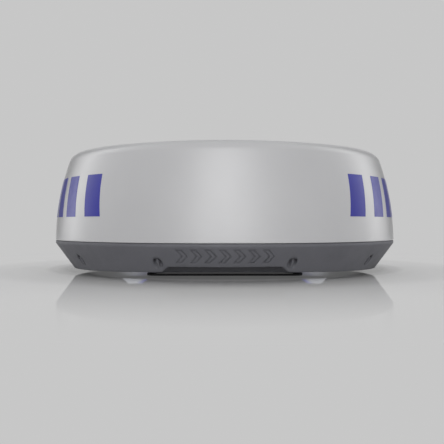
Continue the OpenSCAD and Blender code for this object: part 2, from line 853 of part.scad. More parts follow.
module carrier_fasteners() {
    color("dimgray") {
        translate([0, 0, carrier_z + carrier_t]) difference() {
            cylinder(r = 11.4, h = 7, $fn = 6);
            translate([0, 0, -1]) cylinder(r = 8, h = 10);
        }
        at_array_screws(array_back_y + carrier_t) socket_screw(1.5, 5.5, 2.8, 2.4);
        for (x = [-34, 34]) translate([x, 24, carrier_z]) mirror([0, 0, 1]) socket_screw(1.9, 12, 3.4, 1.2);
    }
}

module array_backplate() {
    color("silver") difference() {
        translate([-array_half, array_back_y - array_lip, array_z])
            cube([2 * array_half, array_lip, array_h]);
        translate([-array_half + 1.5, array_back_y - array_lip - 1, array_z + 1.5])
            cube([2 * array_half - 3, array_lip - array_sheet + 1, array_h - 3]);
        translate([0, array_back_y - 10, feed_z]) rotate([-90, 0, 0]) cylinder(r = 3, h = 20, $fn = 32);
        at_array_screws(array_back_y - 10) cylinder(r = 1.7, h = 20, $fn = SMALL);
    }
}

module array_board() {
    color(board_green) translate([-array_half + 3, array_back_y - array_sheet - board_t, array_z + 3])
        cube([2 * array_half - 6, board_t, array_h - 6]);
}

module patch_elements() {
    pitch_x = (2 * array_half - 16) / patch_columns;
    pitch_z = (array_h - 10) / patch_rows;
    color("orange") for (i = [0:patch_columns - 1], j = [0:patch_rows - 1])
        translate([
            -array_half + 8 + pitch_x * (i + 0.5) - 8, array_back_y - array_sheet - board_t - 0.3,
            array_z + 5 + pitch_z * (j + 0.5) - 9
        ]) cube([16, 0.3, 18]);
}

module feed_coax() {
    color("peru") wire([[0, 0, 127], [0, 0, 138], [0, -4, 146], [0, -10, feed_z], [0, -16, feed_z]], 1.8);
}

module counterweight() {
    color("gray") difference() {
        translate([-45, 17, carrier_z + carrier_t]) cube([90, 14, 22]);
        for (x = [-34, 34]) translate([x, 24, carrier_z]) cylinder(r = 2, h = 18, $fn = SMALL);
    }
}

module rotary_joint_rotor() {
    color("goldenrod") difference() {
        translate([0, 0, 110]) cylinder(r = 4.45, h = 17, $fn = 48);
        translate([0, 0, 109]) cylinder(r = 3.1, h = 12, $fn = 32);
    }
}

module rotary_joint_stator() {
    color("goldenrod") {
        translate([0, 0, pad_z]) cylinder(r = 14, h = 4, $fn = 48);
        translate([0, 0, pad_z]) cylinder(r = 2.7, h = 94, $fn = 32);
    }
}

module position_magnet() {
    color("darkgray") translate([0, 43.5, belt_z - rim_half - flange_t - 2.2])
        cylinder(r = 3, h = 2.2, $fn = 32);
}

module position_sensor() {
    color(board_green) {
        translate([-5, motor_y - 52, motor_top + plate_t]) cube([10, 18, 1.6]);
        translate([-5, motor_y - 56, motor_top + plate_t]) cube([10, 5, 6]);
    }
}

// ---- electronics ----
module circuit_board(side) {
    color(board_green) scale([side, 1, 1]) translate([0, 0, board_z]) difference() {
        translate([board_x0, board_y0, 0]) cube([board_x1 - board_x0, board_y1 - board_y0, board_t]);
        for (p = board_holes) translate([p[0], p[1], -1]) cylinder(r = 1.7, h = 4, $fn = SMALL);
    }
}

module transceiver_shield() {
    color("lightgray") translate([-185, -8, board_z + board_t]) difference() {
        cube([100, 100, 13]);
        for (i = [0:2], j = [0:2]) translate([1 + 33 * i, 1 + 33 * j, -1]) cube([32, 32, 13]);
        for (i = [0:3], j = [0:3]) translate([20 + 20 * i, 20 + 20 * j, 0])
            cylinder(r = 3, h = 20, $fn = SMALL);
    }
}

module board_components() {
    top = board_z + board_t;
    color([0.07, 0.07, 0.08]) {
        translate([90, 10, top]) cube([32, 32, 3]);
        translate([135, 10, top]) cube([18, 18, 2]);
        translate([135, 35, top]) cube([18, 12, 2]);
        translate([95, 55, top]) cube([24, 14, 12]);
        translate([130, 60, top]) cube([40, 30, 11]);
        translate([78, -12, top]) cube([30, 9, 9]);
        for (i = [0:3]) translate([165 + 7 * i, 0, top]) cylinder(r = 3, h = 10, $fn = SMALL);
        for (i = [0:4]) translate([178, 22 + 9 * i, top]) cube([8, 5, 3]);
        translate([80, 95, top]) cube([26, 9, 9]);
        translate([-82, -12, top]) cube([16, 9, 9]);
    }
}

module board_standoffs() {
    color("goldenrod") for (side = [-1, 1], p = board_holes) translate([side * p[0], p[1], boss_top])
        difference() {
            cylinder(r = 4, h = board_z - boss_top, $fn = 6);
            translate([0, 0, -1]) cylinder(r = 1.25, h = 20, $fn = SMALL);
        }
}

module board_screws() {
    color("silver") for (side = [-1, 1]) {
        for (p = board_holes) translate([side * p[0], p[1], board_z + board_t])
            socket_screw(1.2, 7, 2.6, 2);
        for (p = light_bosses)
            translate([side * p[0], p[1], pan_at(p[0]) + light_rise + board_t + 0.1])
                socket_screw(1, 5, 2.2, 1.6);
    }
}

module internal_harness() {
    top = board_z + board_t;
    color([0.1, 0.1, 0.1]) {
        // network lead
        wire([[20, 176, 14], [20, 172, 40], [60, 150, 44], [93, 118, 44], [93, 106.5, top + 4]], 2);
        // power lead
        wire([
            [-20, 176, 14], [-20, 172, 36], [-10, 160, 46], [48, 146, 50], [86, 116, 50],
            [86, 107, top + 6]
        ], 2.4);
        // motor lead
        wire([[77.8, 99, top + 5], [62, 99, 60], [40, 104, 64], [31, 108, 64]], 1.8);
        // lead between the two boards
        wire([
            [92, -14.2, top + 5], [92, -40, 40], [60, -64, 40], [-60, -64, 40], [-74, -40, 40],
            [-74, -14.2, top + 5]
        ], 1.8);
    }
}

// ---- graphics ----
// Generic side decoration: a ring between slanted bars that narrow towards both ends
module side_mark(side) {
    low = 97;
    high = 163;
    mid = (low + high) / 2;
    slant = 14;
    color(mark_blue) intersection() {
        difference() {
            dome_solid(-0.35);
            dome_solid(-0.05);
        }
        scale([side, 1, 1]) rotate([90, 0, 90]) linear_extrude(height = 400) {
            translate([0, mid]) difference() {
                circle(r = (high - low) / 2);
                circle(r = (high - low) / 2 - 13);
            }
            translate([0, mid]) circle(r = 9);
            for (end = [-1, 1], i = [0:3]) {
                width = 38 - 4 * i;
                translate([end * (66 + 50 * i), mid]) polygon([
                    [-width / 2 - slant / 2, low - mid], [width / 2 - slant / 2, low - mid],
                    [width / 2 + slant / 2, high - mid], [-width / 2 + slant / 2, high - mid]
                ]);
            }
        }
    }
}

radome_cover();
cover_seal();
cover_inserts();
cover_screws();
lower_base();
mount_gasket();
mount_inserts();
accent_lens(-1);  // accent_lens_left
accent_lens(1);  // accent_lens_right
accent_board(-1);  // accent_board_left
accent_board(1);  // accent_board_right
accent_leds();
vent_plug();
vent_nut();
connector_housing();
connector_gasket();
connector_screws();
socket_shell(-1);  // power_socket
socket_shell(1);  // data_socket
socket_inserts();
contact_pins();
bearing_housing();
drive_screws();
bearing_ring_outer(low_bearing_z);  // lower_bearing_outer
bearing_ring_outer(top_bearing_z);  // upper_bearing_outer
bearing_retainer();
motor_plate();
motor_posts();
motor_body();
motor_end_caps();
drive_belt();
rotary_joint_stator();
circuit_board(-1);  // transceiver_board
transceiver_shield();
circuit_board(1);  // main_board
board_components();
board_standoffs();
board_screws();
internal_harness();
position_sensor();
side_mark(-1);  // side_mark_left
side_mark(1);  // side_mark_right
antenna_shaft();
bearing_ring_inner(low_bearing_z);  // lower_bearing_inner
bearing_ring_inner(top_bearing_z);  // upper_bearing_inner
drive_pulley();
antenna_carrier();
carrier_fasteners();
array_backplate();
array_board();
patch_elements();
feed_coax();
counterweight();
rotary_joint_rotor();
position_magnet();
ball_set(low_bearing_z);  // lower_ball_set
ball_set(top_bearing_z);  // upper_ball_set
motor_shaft();
motor_pulley();
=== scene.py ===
"""Looks for a closed-dome marine radar antenna.

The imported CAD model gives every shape, size and moving body. This script turns the smooth cover on a fine
lathe, lays the side films on it, gives each part a procedural material, and sets up a pale studio with the
camera low in front of the object.
"""
import json
import math

import bmesh
import bpy
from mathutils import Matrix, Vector


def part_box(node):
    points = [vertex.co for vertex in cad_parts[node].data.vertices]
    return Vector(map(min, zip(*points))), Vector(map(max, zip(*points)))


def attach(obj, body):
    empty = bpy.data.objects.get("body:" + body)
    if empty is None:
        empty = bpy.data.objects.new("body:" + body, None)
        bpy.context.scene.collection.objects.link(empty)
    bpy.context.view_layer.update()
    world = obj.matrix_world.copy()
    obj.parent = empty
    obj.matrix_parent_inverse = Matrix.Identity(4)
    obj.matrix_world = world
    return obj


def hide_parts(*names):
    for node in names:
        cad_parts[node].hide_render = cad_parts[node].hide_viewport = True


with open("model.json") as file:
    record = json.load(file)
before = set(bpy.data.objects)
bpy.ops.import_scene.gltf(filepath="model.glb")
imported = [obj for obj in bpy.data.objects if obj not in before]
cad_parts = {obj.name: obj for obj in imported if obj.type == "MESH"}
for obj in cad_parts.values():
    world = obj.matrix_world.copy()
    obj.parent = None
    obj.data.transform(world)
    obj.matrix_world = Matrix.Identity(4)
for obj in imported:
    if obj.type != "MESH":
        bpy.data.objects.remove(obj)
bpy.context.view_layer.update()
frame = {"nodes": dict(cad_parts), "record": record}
NODES = frame["nodes"]

# Camera: level, low and close, with the object's axis a little right of the middle
EYE = Vector((-0.0047, -1.2876, 0.0859))
LENS_MM = 56.0
SENSOR_MM = 36.0
SHIFT_UP = 0.0038

# Cover screws: their circle, and their directions from the front on each side
SCREW_CIRCLE = 0.266
SCREW_ANGLES = (27, 58, 90, 122, 153)

# Studio: the tone that the backdrop shows, and the light that falls on the object, as pairs of degrees from
# the front and brightness, with its greatest value, its value overhead, and the heights where that takes over
PALE = 0.572
STUDIO = [
    (0, 2.4), (11, 2.02), (25, 0.85), (40, 0.38), (60, 0.32), (88, 0.32), (102, 0.75), (117, 1.8),
    (130, 0.75), (141, 0.10), (151, 0.12), (160, PALE), (180, PALE)
]
STUDIO_PEAK = 2.4
STUDIO_TOP = 0.60
STUDIO_TOP_FROM = (0.60, 0.92)

# Floor: its size, height and tone, and the refractive index of its clear layer
FLOOR_SIZE = 5.0
FLOOR_Z = -0.0004
FLOOR_TONE = 0.795
FLOOR_IOR = 1.07
# Distances from the axis between which the floor fades into the backdrop
FLOOR_FADE = (0.40, 0.80)
# Contact shade: its centre, then the floor's tone at each distance from there, as a share of the open floor's
SHADE_CENTRE = (0, 0.10, 0)
SHADE = [(0.304, 0.40), (0.330, 0.68), (0.354, 0.90), (0.420, 0.92), (0.500, 1.05)]
# Share of the floor's mirror left under the object, and the distances between which it recovers
UNDER_MIRROR = 0.35
MIRROR_ENDS = (0.235, 0.262)
# Painted light: a faint glow that the floor gives off under the object, and the distances between which it
# dies out
UNDER_GLOW = 0.10
GLOW_ENDS = (0.235, 0.280)


# ---------------------------------------------------------------- camera
def make_camera():
    data = bpy.data.cameras.new("camera")
    data.lens = LENS_MM
    data.sensor_width = SENSOR_MM
    data.shift_y = SHIFT_UP
    data.clip_end = 100
    camera = bpy.data.objects.new("camera", data)
    camera.location = EYE
    camera.rotation_euler = (math.radians(90), 0, 0)
    bpy.context.collection.objects.link(camera)
    bpy.context.scene.camera = camera


# ---------------------------------------------------------------- material helpers
class Surface:
    """A node material built step by step around one Principled shader."""

    def __init__(self, name, metallic=0.0, roughness=0.5, **sockets):
        self.material = bpy.data.materials.new(name)
        self.material.use_nodes = True
        self.tree = self.material.node_tree
        self.shader = self.tree.nodes["Principled BSDF"]
        self.shader.inputs["Metallic"].default_value = metallic
        self.shader.inputs["Roughness"].default_value = roughness
        for socket, value in sockets.items():
            self.shader.inputs[socket.replace("_", " ")].default_value = value
        self.coordinates = self.node("ShaderNodeTexCoord")
        self.place = self.coordinates.outputs["Object"]
        self.height = None

    def node(self, kind, **settings):
        made = self.tree.nodes.new(kind)
        for key, value in settings.items():
            setattr(made, key, value)
        return made

    def link(self, source, target):
        self.tree.links.new(source, target)

    def stretched(self, scale):
        """Object coordinates stretched by scale along each axis."""
        mapping = self.node("ShaderNodeMapping")
        mapping.inputs["Scale"].default_value = scale
        self.link(self.place, mapping.inputs["Vector"])
        return mapping.outputs["Vector"]

    def noise(self, scale, detail=3.0, place=None, distortion=0.0):
        made = self.node("ShaderNodeTexNoise")
        made.inputs["Scale"].default_value = scale
        made.inputs["Detail"].default_value = detail
        made.inputs["Distortion"].default_value = distortion
        self.link(place or self.place, made.inputs["Vector"])
        return made.outputs["Fac"]

    def cells(self, scale, place=None):
        made = self.node("ShaderNodeTexVoronoi")
        made.inputs["Scale"].default_value = scale
        self.link(place or self.place, made.inputs["Vector"])
        return made.outputs["Distance"]

    def remap(self, value, low, high, start=0.3, end=0.7):
        made = self.node("ShaderNodeMapRange")
        made.inputs["From Min"].default_value = start
        made.inputs["From Max"].default_value = end
        made.inputs["To Min"].default_value = low
        made.inputs["To Max"].default_value = high
        self.link(value, made.inputs["Value"])
        return made.outputs["Result"]

    def smooth(self, value, low, high, start, end):
        made = self.remap(value, low, high, start, end)
        made.node.interpolation_type = "SMOOTHSTEP"
        return made

    def part_of(self, coordinate, axis):
        """One axis of the object coordinates or of the surface's normal."""
        made = self.node("ShaderNodeSeparateXYZ")
        self.link(self.coordinates.outputs[coordinate], made.inputs[0])
        return made.outputs[axis]

    def distance(self, centre):
        """Distance from a point in object space."""
        made = self.node("ShaderNodeVectorMath", operation="DISTANCE")
        self.link(self.place, made.inputs[0])
        made.inputs[1].default_value = centre
        return made.outputs["Value"]

    def ramp(self, value, stops):
        """Factor that passes smoothly through (value, factor) stops."""
        made = self.node("ShaderNodeValToRGB")
        top = max(factor for _, factor in stops)
        made.color_ramp.interpolation = "EASE"
        for index, (spot, factor) in enumerate(stops):
            elements = made.color_ramp.elements
            element = elements[index] if index < 2 else elements.new(spot)
            element.position = spot
            element.color = (*([factor / top] * 3), 1)
        self.link(value, made.inputs["Fac"])
        scaled = self.node("ShaderNodeMath", operation="MULTIPLY")
        self.link(made.outputs["Color"], scaled.inputs[0])
        scaled.inputs[1].default_value = top
        return scaled.outputs["Value"]

    def blend(self, factor, first, second):
        """Colour that goes from first to second as factor goes from 0 to 1."""
        made = self.node("ShaderNodeMix", data_type="RGBA")
        self.link(factor, made.inputs["Factor"])
        for index, colour in ((6, first), (7, second)):
            if isinstance(colour, tuple):
                made.inputs[index].default_value = (*colour, 1)
            else:
                self.link(colour, made.inputs[index])
        return made.outputs[2]

    def colour(self, value):
        self.link(value, self.shader.inputs["Base Color"])
        return self

    def rough(self, value):
        self.link(value, self.shader.inputs["Roughness"])
        return self

    def round_edges(self, radius):
        """Shades every edge as if it were rounded; call it before any bump."""
        made = self.node("ShaderNodeBevel", samples=8)
        made.inputs["Radius"].default_value = radius
        self.height = made.outputs["Normal"]
        self.link(self.height, self.shader.inputs["Normal"])
        return self

    def bump(self, value, strength, distance):
        made = self.node("ShaderNodeBump")
        made.inputs["Strength"].default_value = strength
        made.inputs["Distance"].default_value = distance
        self.link(value, made.inputs["Height"])
        if self.height is not None:
            self.link(self.height, made.inputs["Normal"])
        self.height = made.outputs["Normal"]
        self.link(self.height, self.shader.inputs["Normal"])
        return self


# ---------------------------------------------------------------- materials
def gel_coat():
    """White satin gel coat: faint clouding, a polished skin, a trace of orange peel, and a matt crown."""
    s = Surface("gel_coat", roughness=0.34, Coat_Weight=0.8, Coat_Roughness=0.24, Specular_IOR_Level=0.9)
    facing_up = s.part_of("Normal", "Z")
    s.link(s.smooth(facing_up, 0.8, 0.0, 0.6, 0.96), s.shader.inputs["Coat Weight"])
    s.link(s.smooth(facing_up, 0.9, 0.12, 0.6, 0.96), s.shader.inputs["Specular IOR Level"])
    cloud = s.noise(7, detail=5)
    s.colour(s.blend(s.remap(cloud, 0, 1), (0.544, 0.544, 0.556), (0.574, 0.574, 0.586)))
    s.rough(s.remap(s.noise(45, detail=4), 0.31, 0.38))
    s.bump(s.noise(900, detail=2), 0.08, 0.00004)
    s.bump(s.noise(38, detail=1), 0.03, 0.0003)
    return s.material


def powder_coat():
    """Dark grey powder coat on a casting: fine pebbled grain, rubbed patches, and a lower edge painted paler
    as if lit from the floor.
    """
    s = Surface("powder_coat", roughness=0.55)
    patch = s.remap(s.noise(22, detail=6), 0, 1)
    base = s.blend(patch, (0.130, 0.131, 0.149), (0.150, 0.151, 0.170))
    # painted light: the colour turns paler towards the lower edge, standing in for light thrown up from the
    # floor
    base = s.blend(s.smooth(s.part_of("Object", "Z"), 1, 0, 0.008, 0.040), base, (0.162, 0.163, 0.183))
    speck = s.remap(s.noise(1400, detail=1), 0, 1, 0.62, 0.72)
    s.colour(s.blend(speck, base, (0.17, 0.17, 0.18)))
    s.rough(s.remap(s.noise(60, detail=4), 0.48, 0.60))
    s.round_edges(0.005)
    s.bump(s.cells(1100), 0.22, 0.00012)
    s.bump(s.noise(260, detail=3), 0.10, 0.00015)
    return s.material


def rubber():
    s = Surface("rubber", roughness=0.8)
    s.colour(s.blend(s.remap(s.noise(120, detail=5), 0, 1), (0.018, 0.018, 0.019), (0.034, 0.034, 0.036)))
    s.rough(s.remap(s.noise(300), 0.7, 0.9))
    s.bump(s.noise(1600, detail=2), 0.3, 0.0001)
    return s.material


def brushed(name, dark, light, roughness, along):
    """Metal with fine lines: along is the stretch of the grain on each axis."""
    s = Surface(name, metallic=1.0, roughness=roughness)
    lines = s.noise(60, detail=6, place=s.stretched(along))
    s.colour(s.blend(s.remap(lines, 0, 1), dark, light))
    s.rough(s.remap(lines, roughness - 0.07, roughness + 0.1))
    s.bump(lines, 0.12, 0.0001)
    return s.material


def cast_metal(name, dark, light):
    s = Surface(name, metallic=1.0, roughness=0.5)
    s.colour(s.blend(s.remap(s.noise(40, detail=6), 0, 1), dark, light))
    s.rough(s.remap(s.noise(150, detail=4), 0.42, 0.62))
    s.bump(s.cells(700), 0.3, 0.0002)
    return s.material


def plastic(name, dark, light, roughness):
    s = Surface(name, roughness=roughness)
    s.colour(s.blend(s.remap(s.noise(80, detail=4), 0, 1), dark, light))
    s.rough(s.remap(s.noise(200), roughness - 0.06, roughness + 0.08))
    s.bump(s.noise(1200, detail=2), 0.15, 0.0001)
    return s.material


def circuit_board():
    """Green solder mask with paler copper runs under it and tinned spots."""
    s = Surface("circuit_board", roughness=0.35, Coat_Weight=0.4, Coat_Roughness=0.1)
    runs = s.node("ShaderNodeTexBrick")
    runs.inputs["Scale"].default_value = 120
    runs.inputs["Mortar Size"].default_value = 0.06
    s.link(s.place, runs.inputs["Vector"])
    mask = s.blend(runs.outputs["Fac"], (0.010, 0.075, 0.040), (0.020, 0.130, 0.070))
    dots = s.remap(s.cells(260), 1, 0, 0.10, 0.14)
    s.colour(s.blend(dots, mask, (0.55, 0.56, 0.56)))
    s.bump(runs.outputs["Fac"], 0.2, 0.00005)
    return s.material


# Border of the light window that the casting hides, and the width over which its blue edge turns pale
WINDOW_BORDER = 0.0035
BLUE_WIDTH = 0.010


def lit_window():
    """Frosted light window: pale all over, deep blue along its inner edge where the light enters."""
    low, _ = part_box("accent_lens_right")
    s = Surface("lit_window", roughness=0.35, Emission_Strength=0.38)
    across = s.node("ShaderNodeMath", operation="ABSOLUTE")
    s.link(s.part_of("Object", "X"), across.inputs[0])
    edge = low.x + WINDOW_BORDER
    outward = s.remap(across.outputs["Value"], 0, 1, edge, edge + BLUE_WIDTH)
    cloud = s.blend(s.remap(s.noise(40, detail=3), 0, 1), (0.85, 0.88, 0.98), (0.95, 0.97, 1.0))
    s.link(s.blend(outward, (0.04, 0.04, 0.80), cloud), s.shader.inputs["Emission Color"])
    s.colour(s.blend(outward, (0.10, 0.12, 0.60), (0.70, 0.72, 0.78)))
    s.bump(s.cells(900), 0.2, 0.0001)
    return s.material


def lit_package():
    """Light-emitting diode: a white package with a yellow phosphor square that glows."""
    s = Surface("lit_package", roughness=0.3, Emission_Strength=1.5)
    spot = s.remap(s.cells(300), 0, 1)
    s.link(s.blend(spot, (0.55, 0.65, 1.0), (0.9, 0.93, 1.0)), s.shader.inputs["Emission Color"])
    s.colour(s.blend(spot, (0.75, 0.68, 0.30), (0.85, 0.85, 0.85)))
    s.bump(s.cells(600), 0.1, 0.0001)
    return s.material


def vinyl():
    """Blue cut vinyl, slightly uneven in gloss, as film laid on a curved shell."""
    s = Surface("vinyl", roughness=0.33, Coat_Weight=0.3, Coat_Roughness=0.12)
    s.colour(s.blend(s.remap(s.noise(14, detail=4), 0, 1), (0.020, 0.022, 0.300), (0.026, 0.028, 0.345)))
    s.rough(s.remap(s.noise(90, detail=4), 0.28, 0.40))
    s.bump(s.noise(500, detail=2), 0.06, 0.00005)
    return s.material


def make_materials():
    flat = (1, 60, 60)
    return {
        "white_shell": gel_coat(),
        "dark_casting": powder_coat(),
        "black_rubber": rubber(),
        "cable_jacket": plastic("cable_jacket", (0.02, 0.02, 0.022), (0.035, 0.035, 0.038), 0.5),
        "steel": brushed("steel", (0.42, 0.42, 0.43), (0.62, 0.62, 0.64), 0.3, flat),
        "dark_steel": brushed("dark_steel", (0.03, 0.03, 0.033), (0.07, 0.07, 0.075), 0.4, flat),
        "bearing_steel": brushed("bearing_steel", (0.60, 0.60, 0.62), (0.75, 0.75, 0.77), 0.12, (1, 1, 60)),
        "brass": brushed("brass", (0.55, 0.38, 0.14), (0.72, 0.52, 0.22), 0.28, (1, 1, 60)),
        "contact_gold": brushed("contact_gold", (0.80, 0.55, 0.20), (0.90, 0.66, 0.28), 0.2, (1, 60, 1)),
        "copper": brushed("copper", (0.60, 0.27, 0.14), (0.75, 0.38, 0.20), 0.3, (1, 1, 30)),
        "machined_aluminium": brushed(
            "machined_aluminium", (0.55, 0.56, 0.57), (0.72, 0.73, 0.74), 0.28, (1, 1, 80)),
        "cast_aluminium": cast_metal("cast_aluminium", (0.42, 0.43, 0.44), (0.58, 0.59, 0.60)),
        "motor_laminations": brushed(
            "motor_laminations", (0.03, 0.03, 0.033), (0.07, 0.07, 0.075), 0.4, (1, 1, 300)),
        "tin_plate": brushed("tin_plate", (0.52, 0.53, 0.54), (0.66, 0.67, 0.68), 0.22, (40, 1, 1)),
        "magnet": brushed("magnet", (0.45, 0.45, 0.46), (0.6, 0.6, 0.6), 0.15, flat),
        "black_plastic": plastic("black_plastic", (0.02, 0.02, 0.023), (0.035, 0.035, 0.04), 0.55),
        "circuit_board": circuit_board(),
        "lens": lit_window(),
        "led": lit_package(),
        "mark_vinyl": vinyl(),
    }


def paint_nodes(materials):
    """Gives every CAD node the material of its slot in the record."""
    for part in frame["record"]["subparts"]:
        thing = NODES[part["node"]]
        for place in thing.material_slots:
            place.material = materials[part["material_slot"]]


# ---------------------------------------------------------------- mesh helpers
def link_mesh(name, bm, material, sharp_degrees=35):
    """Turns a bmesh into an object with smooth faces and sharp corners."""
    bmesh.ops.recalc_face_normals(bm, faces=bm.faces)
    for face in bm.faces:
        face.smooth = True
    for edge in bm.edges:
        edge.smooth = edge.calc_face_angle(0) < math.radians(sharp_degrees)
    mesh = bpy.data.meshes.new(name)
    bm.to_mesh(mesh)
    bm.free()
    mesh.materials.append(material)
    piece = bpy.data.objects.new(name, mesh)
    bpy.context.collection.objects.link(piece)
    return piece


def lathe_into(bm, section, steps):
    """Adds the surface that a closed section of (radius, height) points sweeps about the Z axis."""
    rings = []
    for radius, height in section:
        if radius < 1e-6:
            rings.append([bm.verts.new((0, 0, height))])
            continue
        turns = (2 * math.pi * k / steps for k in range(steps))
        rings.append([bm.verts.new((radius * math.cos(t), radius * math.sin(t), height)) for t in turns])
    for low, high in zip(rings, rings[1:] + rings[:1]):
        if len(low) == 1 and len(high) == 1:
            continue
        for k in range(steps):
            j = (k + 1) % steps
            if len(low) == 1:
                bm.faces.new((low[0], high[j], high[k]))
            elif len(high) == 1:
                bm.faces.new((low[k], low[j], high[0]))
            else:
                bm.faces.new((low[k], low[j], high[j], high[k]))


def arc(centre, radius, start, end, steps):
    """Points along an arc, with its angles in degrees."""
    angles = [math.radians(start + (end - start) * i / steps) for i in range(steps + 1)]
    return [(centre[0] + radius * math.cos(a), centre[1] + radius * math.sin(a)) for a in angles]


# ---------------------------------------------------------------- dome cover
class Dome:
    """The cover's section: a barrel wall, a rounded shoulder and a shallow crown, each an arc."""

    # radius of the wall's arc, and its lean in degrees at the seam and under the shoulder
    WALL_ARC = 0.455
    WALL_LEAN = (1.0, 18.5)
    # radii of the shoulder and the crown
    SHOULDER = 0.023
    CROWN = 1.8
    # wall thickness and lower bevel
    SKIN = 0.003
    EDGE = 0.0009

    def __init__(self):
        low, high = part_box("radome_cover")
        self.radius, self.seam = high.x, low.z
        start, end = (math.radians(a) for a in self.WALL_LEAN)
        self.wall = (self.radius - self.WALL_ARC * math.cos(start),
                     self.seam - self.WALL_ARC * math.sin(start))
        reach = self.WALL_ARC - self.SHOULDER
        self.bend = (self.wall[0] + reach * math.cos(end), self.wall[1] + reach * math.sin(end))
        self.turn = math.degrees(math.acos(self.bend[0] / (self.CROWN - self.SHOULDER)))
        self.crown_z = self.bend[1] - (self.CROWN - self.SHOULDER) * math.sin(math.radians(self.turn))

    def line(self, inset):
        """The section from the lower edge to the middle of the crown, inset from the outer skin."""
        low, top = self.WALL_LEAN
        wall = arc(self.wall, self.WALL_ARC - inset, low, top, 28)
        shoulder = arc(self.bend, self.SHOULDER - inset, top, self.turn, 20)[1:]
        crown = arc((0, self.crown_z), self.CROWN - inset, self.turn, 90, 24)[1:-1]
        return wall + shoulder + crown + [(0, self.crown_z + self.CROWN - inset)]

    def radius_at(self, height, proud):
        """Outer radius of the side wall at a height, for a skin that stands proud of it."""
        rise = height - self.wall[1]
        return self.wall[0] + math.sqrt((self.WALL_ARC + proud) ** 2 - rise**2)


FLANGE_INNER = 0.285
FLANGE_TALL = 0.004
RIM_TALL = 0.006
COVER_STEPS = 288


def make_cover(dome, materials):
    """Thin dome shell with a bevelled lower edge, an inner flange and the screw ears under it."""
    outer = dome.line(0)
    edge = [(dome.radius - dome.EDGE, dome.seam),
            (dome.radius - 0.25 * dome.EDGE, dome.seam + 0.35 * dome.EDGE)]
    outer[0] = (dome.radius, dome.seam + dome.EDGE)
    # a ring close above the bevel keeps its shading off the wall
    outer.insert(1, (dome.radius_at(dome.seam + 1.8 * dome.EDGE, 0), dome.seam + 1.8 * dome.EDGE))
    inner = [p for p in dome.line(dome.SKIN) if p[1] > dome.seam + RIM_TALL]
    flange_top = dome.seam + FLANGE_TALL
    flange = [(inner[0][0], flange_top), (FLANGE_INNER, flange_top), (FLANGE_INNER, dome.seam)]
    bm = bmesh.new()
    lathe_into(bm, edge + outer + inner[::-1] + flange, COVER_STEPS)
    for a in SCREW_ANGLES:
        for side in (-1, 1):
            turn = math.radians(a)
            ear_into(bm, SCREW_CIRCLE * Vector((side * math.sin(turn), -math.cos(turn), 0)), dome.seam)
    cover = link_mesh("dome_cover", bm, materials["white_shell"])
    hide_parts("radome_cover")
    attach(cover, "base")


# Screw boss: radii of its bore and outside, height, bevel at the top, and its web's reach and half width
BOSS_BORE, BOSS_OUTSIDE = 0.004, 0.0085
BOSS_TALL = 0.0163
BOSS_BEVEL = 0.0005
BOSS_STEPS = 40
WEB_REACH = (0.006, 0.024)
WEB_HALF = 0.007


def ear_into(bm, place, seam):
    """A hollow screw boss on a web that joins it to the flange."""
    boss = bmesh.new()
    top = seam + BOSS_TALL
    lathe_into(boss, [
        (BOSS_BORE, seam), (BOSS_OUTSIDE, seam), (BOSS_OUTSIDE, top - BOSS_BEVEL),
        (BOSS_OUTSIDE - BOSS_BEVEL, top), (BOSS_BORE + BOSS_BEVEL, top), (BOSS_BORE, top - BOSS_BEVEL)
    ], BOSS_STEPS)
    out = place.normalized()
    across = Vector((-out.y, out.x, 0))
    near, far = WEB_REACH
    corners = [(near, WEB_HALF), (near, -WEB_HALF), (far, -WEB_HALF), (far, WEB_HALF)]
    low = [boss.verts.new(out * u + across * v + Vector((0, 0, seam))) for u, v in corners]
    high = [boss.verts.new(out * u + across * v + Vector((0, 0, seam + FLANGE_TALL))) for u, v in corners]
    boss.faces.new(low)
    boss.faces.new(high)
    for i in range(4):
        j = (i + 1) % 4
        boss.faces.new((low[i], low[j], high[j], high[i]))
    bmesh.ops.translate(boss, verts=boss.verts, vec=place)
    part = bpy.data.meshes.new("ear")
    boss.to_mesh(part)
    boss.free()
    bm.from_mesh(part)
    bpy.data.meshes.remove(part)


# ---------------------------------------------------------------- side graphics
# Height range of the marks, lean of the bars over it, and the bars' spacing and first place from the middle
MARK_LOW, MARK_HIGH = 0.097, 0.163
MARK_SLANT = 0.014
MARK_PITCH = 0.050
MARK_FIRST = 0.066
# Width of the first bar and how much each next one loses
BAR_WIDTH, BAR_TAPER = 0.038, 0.004
# Width of the ring's band, and the inner and outer radius of the spot within it
RING_BAND = 0.013
SPOT = (0.0015, 0.009)
# How far the film's two faces stand off the wall
FILM_PROUD = (0.00006, 0.00032)
# Mesh divisions: along and across a bar, around and across a ring
BAR_ROWS, BAR_COLUMNS = 16, 8
RING_TURNS, RING_ROWS = 96, 4


def film_into(bm, grid, dome, side, closed):
    """Adds a thin film laid on the dome wall from rows of (y, z) points.

    closed joins the last column to the first.
    """
    def on_wall(point, proud):
        y, z = point
        radius = dome.radius_at(z, proud)
        return bm.verts.new((side * math.sqrt(radius**2 - y**2), y, z))

    inside, outside = ([[on_wall(p, proud) for p in row] for row in grid] for proud in FILM_PROUD)
    rows, columns = len(grid), len(grid[0])
    last = columns if closed else columns - 1
    for i in range(rows - 1):
        for j in range(last):
            k = (j + 1) % columns
            bm.faces.new((outside[i][j], outside[i][k], outside[i + 1][k], outside[i + 1][j]))
            bm.faces.new((inside[i][j], inside[i + 1][j], inside[i + 1][k], inside[i][k]))
    for i in (0, rows - 1):
        for j in range(last):
            k = (j + 1) % columns
            bm.faces.new((inside[i][j], inside[i][k], outside[i][k], outside[i][j]))
    if not closed:
        for j in (0, columns - 1):
            for i in range(rows - 1):
                bm.faces.new((inside[i][j], inside[i + 1][j], outside[i + 1][j], outside[i][j]))


